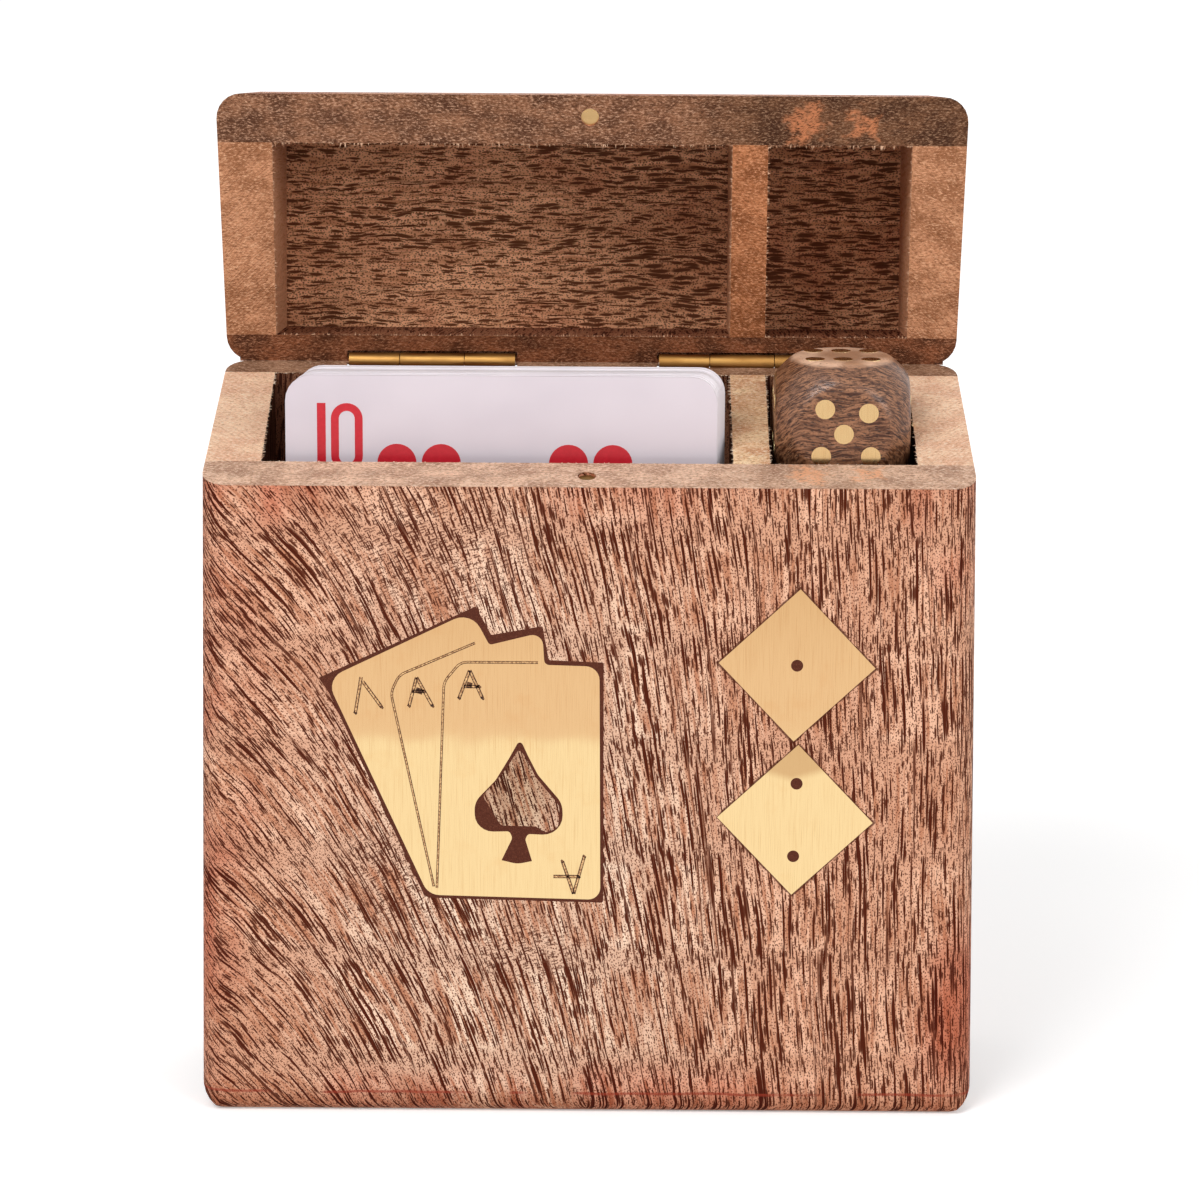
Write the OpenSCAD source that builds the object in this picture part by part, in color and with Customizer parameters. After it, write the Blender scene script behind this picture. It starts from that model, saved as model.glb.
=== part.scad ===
// Card and dice box with a hinged lid, glued up from boards and sawn apart on a slant.
// Origin: centre of the underside. +Z up, front face towards -Y. The lid is drawn open.

/* [Box] */
// Width of the box at its front rim
box_w = 101.6; // [92:0.1:112]
// Depth of the box from front face to back face
box_d = 36.6; // [34:0.1:44]
// Height of the closed box
box_h = 122; // [117:0.5:140]
// Height of the body's front rim
rim_h = 86.1; // [80:0.1:92]
// Slope of the saw cut that parts lid and body, in degrees
rim_slope = 15; // [8:0.5:18]
// How far each side leans out from the rim to the foot
foot_flare = 1.1; // [0:0.1:2]
// How far each side draws in from the front to the back
back_draw = 0.75; // [0:0.05:1.5]
// Radius of the upright edges
edge_r = 3.4; // [2.5:0.1:3.5]
// Radius of the corners seen from the front
corner_r = 4; // [2:0.1:5]
// Radius of the long lower and upper edges
arris_r = 1.6; // [0.8:0.1:2.5]

/* [Boards] */
// Thickness of the front board
front_t = 6.6; // [5.5:0.1:7.5]
// Thickness of the back board
back_t = 3.6; // [3.2:0.1:4.5]
// Thickness of the side strips at the front rim
side_t = 7.5; // [6:0.1:8.5]
// Thickness of the floor strip
floor_t = 10.1; // [8:0.1:11]
// Thickness of the top strip
top_t = 6.6; // [5.5:0.1:8]
// Thickness of the divider
divider_t = 4.8; // [4.3:0.1:5.2]

/* [Lid] */
// How far the lid turns from closed to open, in degrees
lid_turn = 96.65; // [90:0.05:100]

/* [Hinges] */
// Length of a hinge along its pin
hinge_l = 22.8; // [18:0.1:26]
// Distance between the middles of the two hinges
hinge_span = 42.6; // [38:0.1:50]
// Shift of the pair of hinges off the middle of the box
hinge_shift = -0.6; // [-2:0.1:2]
// Length of the middle knuckle
knuckle_l = 9; // [6:0.1:12]
// Radius of the barrel
barrel_r = 1.2; // [1.1:0.05:1.4]
// Radius of the hinge pin
pin_r = 0.55; // [0.4:0.05:0.7]
// Height of a leaf from the pin to its edge
leaf_h = 8; // [7:0.1:10]
// Thickness of a leaf
leaf_t = 0.8; // [0.6:0.05:1]
// Distance between the two nails of a leaf
nail_span = 14; // [10:0.1:17]
// Radius of a nail's shank
nail_r = 0.5; // [0.4:0.05:0.6]
// Radius of a nail's head
nail_head_r = 1.05; // [0.9:0.05:1.3]
// Height of a nail's head over the leaf
nail_head_h = 0.35; // [0.2:0.05:0.5]
// Length of a nail below its head
nail_l = 2.8; // [2.2:0.1:3]

/* [Catch] */
// Place of the magnets left or right of the middle
magnet_x = -0.3; // [-3:0.1:3]
// Distance of the magnets from the front face
magnet_y = 3.1; // [2.5:0.1:3.6]
// Radius of a magnet
magnet_r = 1.2; // [0.9:0.05:1.4]
// Length of a magnet
magnet_l = 4; // [2:0.1:5]
// Depth of a magnet below the rim
magnet_sink = 0.5; // [0.2:0.05:1]

/* [Inlays] */
// Thickness of the brass plates
inlay_t = 1.2; // [0.8:0.1:1.6]
// Side of the square die plates
die_plate = 14.6; // [12:0.1:14.7]
// Place of the die plates right of the middle
die_plate_x = 27.5; // [24:0.1:30]
// Height of the middle of the upper die plate
die_plate_z = 62.2; // [60:0.1:66]
// Distance between the middles of the two die plates
die_plate_pitch = 21.1; // [20.9:0.1:23]
// Turn of the die plates from standing on a corner, in degrees
die_plate_turn = -1.8; // [-4:0.1:4]
// Radius of the spots in the die plates
spot_r = 0.8; // [0.6:0.05:1]
// Distance of a spot of the lower plate from its middle
spot_offset = 5; // [3:0.1:6]

/* [Cards] */
// Height of a card
card_h = 88.9; // [86:0.1:90]
// Radius of a card's corners
card_r = 3.4; // [2:0.1:4]
// Thickness of a card
card_t = 0.3; // [0.25:0.01:0.35]
// Thickness of the whole pack
pack_t = 7.5; // [6:0.1:10]
// How far the pack leans right from its front card to its back card
pack_skew = 1.2; // [0:0.1:1.5]
// Gap between the front wall and the pack
pack_front_gap = 2.4; // [2.2:0.1:4]
// Gap between the left strip and the front card
pack_side_gap = 3.1; // [1:0.1:3.3]
// Gap between the front card and the divider
pack_end_gap = 2.2; // [1.8:0.1:3]

/* [Dice] */
// Edge length of a die
die_a = 18.1; // [17:0.1:18.2]
// Radius of the ball that rounds a die's corners
die_ball_r = 12.5; // [12.2:0.1:13]
// Number of dice in the stack
die_count = 5; // [3:1:5]
// Gap between the front wall and the dice
dice_front_gap = 1.9; // [1.8:0.1:3]
// Gap at each side of the dice
dice_side_gap = 0.7; // [0.5:0.1:1.2]
// Radius of a brass pip
pip_r = 1.3; // [1:0.05:1.5]
// Distance between neighbouring pips of a five
pip_pitch = 3.15; // [2.8:0.05:3.5]
// Distance between neighbouring pips in a row of the six
pip_row_pitch = 3.7; // [3.2:0.05:3.9]
// Depth of a brass pip
pip_t = 0.8; // [0.5:0.05:1.2]

/* [Fits] */
// Gap round a hinge pin
pin_fit = 0.05; // [0.02:0.01:0.08]
// Gap between moving hinge parts and the wood
barrel_fit = 0.3; // [0.2:0.05:0.4]
// Gap at each end of the middle knuckle
knuckle_fit = 0.12; // [0.05:0.01:0.2]
// Gap round nails and magnets in their holes
nail_fit = 0.02; // [0.01:0.01:0.05]
// Radius of the groove that eases the two back rim edges
rim_ease_r = 0.5; // [0.3:0.1:0.8]
// Gap between the two sawn rims when the lid is shut
rim_fit = 0.02; // [0.01:0.01:0.05]

/* [Hidden] */
$fn = 48;
arc_steps = 6;
front_y = -box_d / 2;
back_y = box_d / 2;
rim_back_z = rim_h + box_d * tan(rim_slope);
inner_front_y = front_y + front_t;
inner_back_y = back_y - back_t;
bay_left_x = -box_w / 2 + side_t;
bay_right_x = box_w / 2 - side_t;
divider_right_x = bay_right_x - die_a - 2 * dice_side_gap;
divider_left_x = divider_right_x - divider_t;
card_w = divider_left_x - bay_left_x - pack_side_gap - pack_end_gap;
dice_bay_x = (divider_right_x + bay_right_x) / 2;
reach = 2 * box_h;
skin = 0.01;
hinge_places = [hinge_shift - hinge_span / 2, hinge_shift + hinge_span / 2];
nail_z = (leaf_h + barrel_r) / 2;

// Outline of the fan of three cards: x, z and corner radius
fan_outline = [
    [-34.5, 60, 2.4], [-15.4, 69.3, 2.6], [-13, 64.75, 0.5], [-6.05, 66.5, 1.4],
    [-5.75, 62.1, 0.7], [1.5, 61.9, 1.9], [1.75, 29.9, 1.6], [-21.15, 30.45, 2.4]
];
// Outline of the recess for the fan, which the filler closes
recess_outline = [
    [-35.5, 60.15, 0.2], [-14.8, 69.95, 0.2], [-12.75, 66.1, 0.2], [-6, 67.35, 0.2],
    [-5.2, 62.75, 0.3], [2.05, 62.45, 0.2], [2.15, 29.5, 0.3], [-21.55, 30.05, 1.2],
    [-34.1, 58, 0.5]
];
// Outline of the spade's window and its stem
spade_outline = [
    [-8.95, 52, 0.4], [-10.45, 49.25, 2], [-12.2, 46.3, 3], [-15, 43.3, 2.8],
    [-14.9, 39.2, 2.4], [-10.35, 39.3, 0.5], [-9.95, 38.4, 0.8], [-11.4, 35.3, 0],
    [-9.3, 34.8, 3], [-7.35, 35.2, 0], [-8.25, 38.2, 0.6], [-7.9, 38.95, 0.5],
    [-3.2, 38.75, 2.6], [-3.35, 43.2, 3], [-6.6, 47.1, 4], [-7.9, 49.7, 2]
];
// Outline of the wood left standing in the spade's window
island_outline = [
    [-9.1, 50.6, 0.3], [-11.2, 47.3, 1.5], [-13.9, 44.2, 0.5], [-11.5, 40.1, 0.8],
    [-6.9, 40, 0.5], [-5.5, 39.2, 0.4], [-3.9, 39.8, 0.9], [-3.7, 42.8, 1.5],
    [-6.9, 46.8, 2], [-8.2, 49.5, 1]
];

// A corner of an outline as an arc of radius r
function unit(v) = v / norm(v);
function corner_arc(before, at, after, r) =
    let (
        a = unit(before - at),
        b = unit(after - at),
        half = acos(a * b) / 2,
        centre = at + unit(a + b) * r / sin(half),
        start = at + a * r / tan(half) - centre,
        end = at + b * r / tan(half) - centre,
        start_angle = atan2(start.y, start.x),
        turn = (atan2(end.y, end.x) - start_angle + 540) % 360 - 180
    )
    [for (i = [0:arc_steps]) centre + r * [
        cos(start_angle + turn * i / arc_steps), sin(start_angle + turn * i / arc_steps)
    ]];

// A polygon from points of the form x, y, corner radius
module rounded_outline(corners) {
    n = len(corners);
    polygon([
        for (i = [0:n - 1])
            let (
                p = corners[i],
                q = corners[(i + n - 1) % n],
                s = corners[(i + 1) % n],
                at = [p.x, p.y]
            )
            each p.z > 0 ? corner_arc([q.x, q.y], at, [s.x, s.y], p.z) : [at]
    ]);
}

// The box seen from above; extra widens each side
module plan_outline(extra) {
    rounded_outline([
        [-box_w / 2 - extra, front_y, edge_r],
        [box_w / 2 + extra, front_y, edge_r],
        [box_w / 2 + extra - back_draw, back_y, edge_r],
        [-box_w / 2 - extra + back_draw, back_y, edge_r]
    ]);
}

// The box seen from the front
module front_outline() {
    foot = box_w / 2 + foot_flare;
    rim = box_w / 2;
    rounded_outline([
        [-foot, 0, corner_r], [foot, 0, corner_r], [rim, rim_h, 0],
        [rim, box_h, corner_r], [-rim, box_h, corner_r], [-rim, rim_h, 0]
    ]);
}

// The box seen from its right side
module side_outline() {
    rounded_outline([
        [front_y, 0, arris_r], [back_y, 0, arris_r],
        [back_y, box_h, arris_r], [front_y, box_h, arris_r]
    ]);
}

// Everything between two depths behind the front face
module depth_slab(from_y, to_y) {
    translate([-reach / 2, from_y, -reach / 2]) cube([reach, to_y - from_y, 2 * reach]);
}

// Everything between two places across the width
module width_slab(from_x, to_x) {
    translate([from_x, -reach / 2, -reach / 2]) cube([to_x - from_x, reach, 2 * reach]);
}

// Everything between two heights
module height_slab(from_z, to_z) {
    translate([-reach / 2, -reach / 2, from_z]) cube([reach, reach, to_z - from_z]);
}

// Space below the sloping saw cut
module below_cut() {
    translate([0, front_y, rim_h]) rotate([rim_slope, 0, 0])
        translate([-reach, -reach, -reach]) cube([2 * reach, 2 * reach, reach]);
}

// Space above the sloping saw cut
module above_cut() {
    translate([0, front_y, rim_h]) rotate([rim_slope, 0, 0])
        translate([-reach, -reach, rim_fit]) cube([2 * reach, 2 * reach, reach]);
}

// The body's outer form before its boards are told apart
module body_form() {
    intersection() {
        union() {
            hull() {
                linear_extrude(skin) plan_outline(foot_flare);
                translate([0, 0, rim_h - skin]) linear_extrude(skin) plan_outline(0);
            }
            translate([0, 0, rim_h - skin])
                linear_extrude(rim_back_z - rim_h + 1) plan_outline(0);
        }
        below_cut();
        depth_to_front() front_outline();
        width_to_side() side_outline();
    }
}

// The lid's outer form, closed
module lid_form() {
    intersection() {
        translate([0, 0, rim_h - 1]) linear_extrude(box_h - rim_h + 1) plan_outline(0);
        above_cut();
        depth_to_front() front_outline();
        width_to_side() side_outline();
    }
}

// An outline drawn in the front view, drawn out through the whole depth
module depth_to_front() {
    translate([0, back_y + 1, 0]) rotate([90, 0, 0]) linear_extrude(box_d + 2) children();
}

// An outline drawn in the side view, drawn out across the whole width
module width_to_side() {
    translate([-reach / 2, 0, 0]) rotate([90, 0, 90]) linear_extrude(reach) children();
}

// An outline drawn in the front view, sunk into the front face
module sunk_in_front(depth) {
    translate([0, front_y + depth, 0]) rotate([90, 0, 0]) linear_extrude(depth) children();
}

// Moves closed lid pieces to the open pose
module open_lid() {
    translate([0, back_y, rim_back_z]) rotate([-lid_turn, 0, 0])
        translate([0, -back_y, -rim_back_z]) children();
}

// A cylinder along the hinge axis
module axis_rod(from_x, length, r) {
    translate([from_x, back_y, rim_back_z]) rotate([0, 90, 0]) cylinder(h = length, r = r);
}

// A hole or magnet square to the sloping rim, towards = 1 up into the lid, -1 down
module rim_peg(towards, from, length, r) {
    translate([magnet_x, front_y, rim_h]) rotate([rim_slope, 0, 0])
        translate([0, magnet_y, towards > 0 ? from : -from - length])
            cylinder(h = length, r = r);
}

// Room for the hinges in a back board; up = 1 for the lid, -1 for the body
module hinge_room(up) {
    axis_rod(-reach / 2, reach, rim_ease_r);
    for (x = hinge_places) {
        axis_rod(x - hinge_l / 2 - barrel_fit, hinge_l + 2 * barrel_fit,
            barrel_r + barrel_fit);
        translate([
            x - hinge_l / 2 - nail_fit, back_y - leaf_t,
            up > 0 ? rim_back_z : rim_back_z - leaf_h - nail_fit
        ])
            cube([hinge_l + 2 * nail_fit, leaf_t + 1, leaf_h + nail_fit]);
        nail_pair(x, up, nail_r + nail_fit, nail_fit);
    }
}

// Shanks of the two nails of one leaf
module nail_pair(x, up, r, deeper) {
    for (side = [-1, 1])
        translate([x + side * nail_span / 2, back_y + skin, rim_back_z + up * nail_z])
            rotate([90, 0, 0]) cylinder(h = nail_l + deeper + skin, r = r, $fn = 24);
}

// Square die plate standing on a corner, and its spots
module die_plate_shape(z) {
    translate([die_plate_x, z]) rotate(45 + die_plate_turn)
        square(die_plate, center = true);
}

module spots(z, offsets) {
    for (o = offsets)
        translate([die_plate_x, z]) rotate(die_plate_turn) translate([0, o])
            circle(r = spot_r);
}

lower_plate_z = die_plate_z - die_plate_pitch;
upper_spots = [0];
lower_spots = [-spot_offset, spot_offset];

// Boards of the body
module body_front_board() {
    color("burlywood") difference() {
        intersection() {
            body_form();
            depth_slab(front_y - 1, inner_front_y);
        }
        sunk_in_front(inlay_t) difference() {
            rounded_outline(recess_outline);
            rounded_outline(island_outline);
        }
        sunk_in_front(inlay_t) die_plate_shape(die_plate_z);
        sunk_in_front(inlay_t) die_plate_shape(lower_plate_z);
        rim_peg(-1, -1, magnet_sink + magnet_l + 1, magnet_r + nail_fit);
    }
}

module body_back_board() {
    color("burlywood") difference() {
        intersection() {
            body_form();
            depth_slab(inner_back_y, back_y + 1);
        }
        hinge_room(-1);
    }
}

module body_left_strip() {
    color("tan") intersection() {
        body_form();
        depth_slab(inner_front_y, inner_back_y);
        width_slab(-reach, bay_left_x);
    }
}

module body_right_strip() {
    color("tan") intersection() {
        body_form();
        depth_slab(inner_front_y, inner_back_y);
        width_slab(bay_right_x, reach);
    }
}

module body_floor_strip() {
    color("tan") intersection() {
        body_form();
        depth_slab(inner_front_y, inner_back_y);
        width_slab(bay_left_x, bay_right_x);
        height_slab(-1, floor_t);
    }
}

module body_divider() {
    color("tan") intersection() {
        body_form();
        depth_slab(inner_front_y, inner_back_y);
        width_slab(divider_left_x, divider_right_x);
        height_slab(floor_t, reach);
    }
}

// Brass inlays and their filler
module fan_inlay() {
    color("gold") sunk_in_front(inlay_t) difference() {
        rounded_outline(fan_outline);
        rounded_outline(spade_outline);
    }
}

module die_inlay_upper() {
    color("gold") sunk_in_front(inlay_t) difference() {
        die_plate_shape(die_plate_z);
        spots(die_plate_z, upper_spots);
    }
}

module die_inlay_lower() {
    color("gold") sunk_in_front(inlay_t) difference() {
        die_plate_shape(lower_plate_z);
        spots(lower_plate_z, lower_spots);
    }
}

module inlay_filler() {
    color("saddlebrown") sunk_in_front(inlay_t) {
        difference() {
            rounded_outline(recess_outline);
            rounded_outline(fan_outline);
        }
        difference() {
            rounded_outline(spade_outline);
            rounded_outline(island_outline);
        }
        spots(die_plate_z, upper_spots);
        spots(lower_plate_z, lower_spots);
    }
}

module body_magnet() {
    color("goldenrod") rim_peg(-1, magnet_sink, magnet_l, magnet_r);
}

// Boards of the lid
module lid_front_board() {
    color("burlywood") open_lid() difference() {
        intersection() {
            lid_form();
            depth_slab(front_y - 1, inner_front_y);
        }
        rim_peg(1, -1, magnet_sink + magnet_l + 1, magnet_r + nail_fit);
    }
}

module lid_back_board() {
    color("burlywood") open_lid() difference() {
        intersection() {
            lid_form();
            depth_slab(inner_back_y, back_y + 1);
        }
        hinge_room(1);
    }
}

module lid_left_strip() {
    color("tan") open_lid() intersection() {
        lid_form();
        depth_slab(inner_front_y, inner_back_y);
        width_slab(-reach, bay_left_x);
    }
}

module lid_right_strip() {
    color("tan") open_lid() intersection() {
        lid_form();
        depth_slab(inner_front_y, inner_back_y);
        width_slab(bay_right_x, reach);
    }
}

module lid_top_strip() {
    color("tan") open_lid() intersection() {
        lid_form();
        depth_slab(inner_front_y, inner_back_y);
        width_slab(bay_left_x, bay_right_x);
        height_slab(box_h - top_t, box_h + 1);
    }
}

module lid_divider() {
    color("tan") open_lid() intersection() {
        lid_form();
        depth_slab(inner_front_y, inner_back_y);
        width_slab(divider_left_x, divider_right_x);
        height_slab(rim_h - 1, box_h - top_t);
    }
}

module lid_magnet() {
    color("goldenrod") open_lid() rim_peg(1, magnet_sink, magnet_l, magnet_r);
}

// One leaf with its knuckles; up = 1 for the lid's leaf, -1 for the body's
module hinge_leaf(x, up) {
    half = hinge_l / 2;
    mid = knuckle_l / 2;
    own = up > 0 ? [[-mid, mid]] : [[-half, -mid], [mid, half]];
    other = up > 0 ? [[-half - 1, -mid], [mid, half + 1]] : [[-mid, mid]];
    end_gap = up > 0 ? knuckle_fit : 0;
    difference() {
        union() {
            translate([x - half, back_y - leaf_t, up > 0 ? rim_back_z : rim_back_z - leaf_h])
                cube([hinge_l, leaf_t, leaf_h]);
            for (k = own)
                axis_rod(x + k[0], k[1] - k[0], barrel_r);
        }
        for (k = other)
            axis_rod(x + k[0] - knuckle_fit * (up < 0 ? 0 : 1),
                k[1] - k[0] + 2 * knuckle_fit * (up < 0 ? 0 : 1), barrel_r + barrel_fit);
        axis_rod(x - half - 1, hinge_l + 2, pin_r + pin_fit);
        nail_pair(x, up, nail_r + nail_fit, 0);
    }
}

module hinge_left_body_leaf() {
    color("goldenrod") hinge_leaf(hinge_places[0], -1);
}

module hinge_right_body_leaf() {
    color("goldenrod") hinge_leaf(hinge_places[1], -1);
}

module hinge_left_lid_leaf() {
    color("goldenrod") open_lid() hinge_leaf(hinge_places[0], 1);
}

module hinge_right_lid_leaf() {
    color("goldenrod") open_lid() hinge_leaf(hinge_places[1], 1);
}

module hinge_left_pin() {
    color("darkgoldenrod") axis_rod(hinge_places[0] - hinge_l / 2, hinge_l, pin_r);
}

module hinge_right_pin() {
    color("darkgoldenrod") axis_rod(hinge_places[1] - hinge_l / 2, hinge_l, pin_r);
}

// Nails with low round heads
module hinge_nails(up) {
    for (x = hinge_places, side = [-1, 1])
        translate([x + side * nail_span / 2, back_y, rim_back_z + up * nail_z]) {
            rotate([90, 0, 0]) cylinder(h = nail_l, r = nail_r, $fn = 24);
            rotate([-90, 0, 0]) cylinder(h = nail_head_h, r = nail_head_r, $fn = 24);
        }
}

module body_hinge_nails() {
    color("gold") hinge_nails(-1);
}

module lid_hinge_nails() {
    color("gold") open_lid() hinge_nails(1);
}

// A card or packet of cards of thickness t, its front towards -Y
module card_plate(t, shift) {
    left = bay_left_x + pack_side_gap + shift;
    translate([0, t, 0]) rotate([90, 0, 0]) linear_extrude(t) rounded_outline([
        [left, floor_t, card_r], [left + card_w, floor_t, card_r],
        [left + card_w, floor_t + card_h, card_r], [left, floor_t + card_h, card_r]
    ]);
}

module card_front() {
    color("white") translate([0, inner_front_y + pack_front_gap, 0]) card_plate(card_t, 0);
}

// The cards behind the front one, in packets that lean a little to the right
packets = 6;
module card_stack() {
    stack_t = pack_t - card_t;
    packet_t = stack_t / packets;
    color("lavender") for (i = [0:packets - 1])
        translate([0, inner_front_y + pack_front_gap + card_t + i * packet_t, 0])
            card_plate(packet_t + (i < packets - 1 ? skin : 0), pack_skew * i / (packets - 1));
}

// Places of the five, drilled by hand, as shares of the pip pitch
five_places = [[-0.8, 1.06], [1.03, 0.9], [0, 0], [-0.94, -0.95], [1.14, -0.95]];

// Places of the pips of a face that shows n, in its own plane
function pip_places(n) =
    let (s = pip_pitch, r = pip_row_pitch)
    n == 1 ? [[0, 0]] :
    n == 2 ? [[-s, -s], [s, s]] :
    n == 3 ? [[-s, -s], [0, 0], [s, s]] :
    n == 4 ? [[-s, -s], [-s, s], [s, -s], [s, s]] :
    n == 5 ? s * five_places :
    [for (i = [-1:1], j = [-1, 1]) [i * r, j * s]];

// Turns that bring a face from the top to front, back, right, left and bottom
face_turns = [[0, 0, 0], [90, 0, 0], [-90, 0, 0], [0, 90, 0], [0, -90, 0], [180, 0, 0]];
face_values = [6, 5, 2, 3, 4, 1];

module pips_of_die(sunk, r) {
    for (f = [0:5])
        rotate(face_turns[f])
            for (p = pip_places(face_values[f]))
                translate([p.x, p.y, die_a / 2 - sunk]) cylinder(h = sunk, r = r, $fn = 24);
}

// Puts its children at the middle of die number i, counted from the floor
module die_place(i) {
    translate([
        dice_bay_x,
        inner_front_y + dice_front_gap + die_a / 2,
        floor_t + die_a * (i - 0.5)
    ]) children();
}

module die(i) {
    if (i <= die_count)
        color("sienna") die_place(i) difference() {
            intersection() {
                cube(die_a, center = true);
                sphere(r = die_ball_r, $fn = 64);
            }
            pips_of_die(pip_t, pip_r);
        }
}

module die_1() { die(1); }
module die_2() { die(2); }
module die_3() { die(3); }
module die_4() { die(4); }
module die_5() { die(5); }

module die_pips() {
    color("gold") for (i = [1:die_count]) die_place(i) pips_of_die(pip_t, pip_r);
}

body_front_board();
body_back_board();
body_left_strip();
body_right_strip();
body_floor_strip();
body_divider();
fan_inlay();
die_inlay_upper();
die_inlay_lower();
inlay_filler();
body_magnet();
lid_front_board();
lid_back_board();
lid_left_strip();
lid_right_strip();
lid_top_strip();
lid_divider();
lid_magnet();
hinge_left_body_leaf();
hinge_right_body_leaf();
hinge_left_lid_leaf();
hinge_right_lid_leaf();
hinge_left_pin();
hinge_right_pin();
body_hinge_nails();
lid_hinge_nails();
card_front();
card_stack();
die_1();
die_2();
die_3();
die_4();
die_5();
die_pips();
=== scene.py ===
"""The dice and card box, with its lid open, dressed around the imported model. Metres, in the model's own frame."""

import math

import bpy
import numpy as np
from mathutils import Matrix, Vector


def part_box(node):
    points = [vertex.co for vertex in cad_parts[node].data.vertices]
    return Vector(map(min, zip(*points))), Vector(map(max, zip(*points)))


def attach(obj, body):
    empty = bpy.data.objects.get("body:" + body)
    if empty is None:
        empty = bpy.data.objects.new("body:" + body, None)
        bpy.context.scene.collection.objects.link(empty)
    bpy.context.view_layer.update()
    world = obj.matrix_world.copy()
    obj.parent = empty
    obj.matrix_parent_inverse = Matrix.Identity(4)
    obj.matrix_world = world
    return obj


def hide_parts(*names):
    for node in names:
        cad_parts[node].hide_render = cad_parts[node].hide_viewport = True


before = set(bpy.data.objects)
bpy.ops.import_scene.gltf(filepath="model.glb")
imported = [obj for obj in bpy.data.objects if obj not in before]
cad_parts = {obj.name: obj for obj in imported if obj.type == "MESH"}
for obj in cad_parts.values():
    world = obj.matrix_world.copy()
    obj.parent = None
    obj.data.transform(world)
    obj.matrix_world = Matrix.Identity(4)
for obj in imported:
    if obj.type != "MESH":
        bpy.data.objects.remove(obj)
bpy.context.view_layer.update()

# FRONT BOARDS OF THE BODY AND THE LID
# One piece of hardwood with interlocked grain, sanded and oiled, glued over the strips between
# the boards. The lid is sawn off the finished body, so the grain runs on across the cut.
MM = 0.001
HINGE_Y, HINGE_Z = 18.3, 95.9066
LID_TURN = math.radians(96.65)
RIM_Z, RIM_SLOPE = 86.1, math.tan(math.radians(15))
FRONT_Y = -18.3


def tone(red, green, blue):
    """A colour as read off the object, 0 to 255, turned into the linear values a shader takes."""
    share = np.array([red, green, blue]) / 255
    linear = np.where(share <= 0.04045, share / 12.92, ((share + 0.055) / 1.055) ** 2.4)
    return (*linear.tolist(), 1.0)


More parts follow.
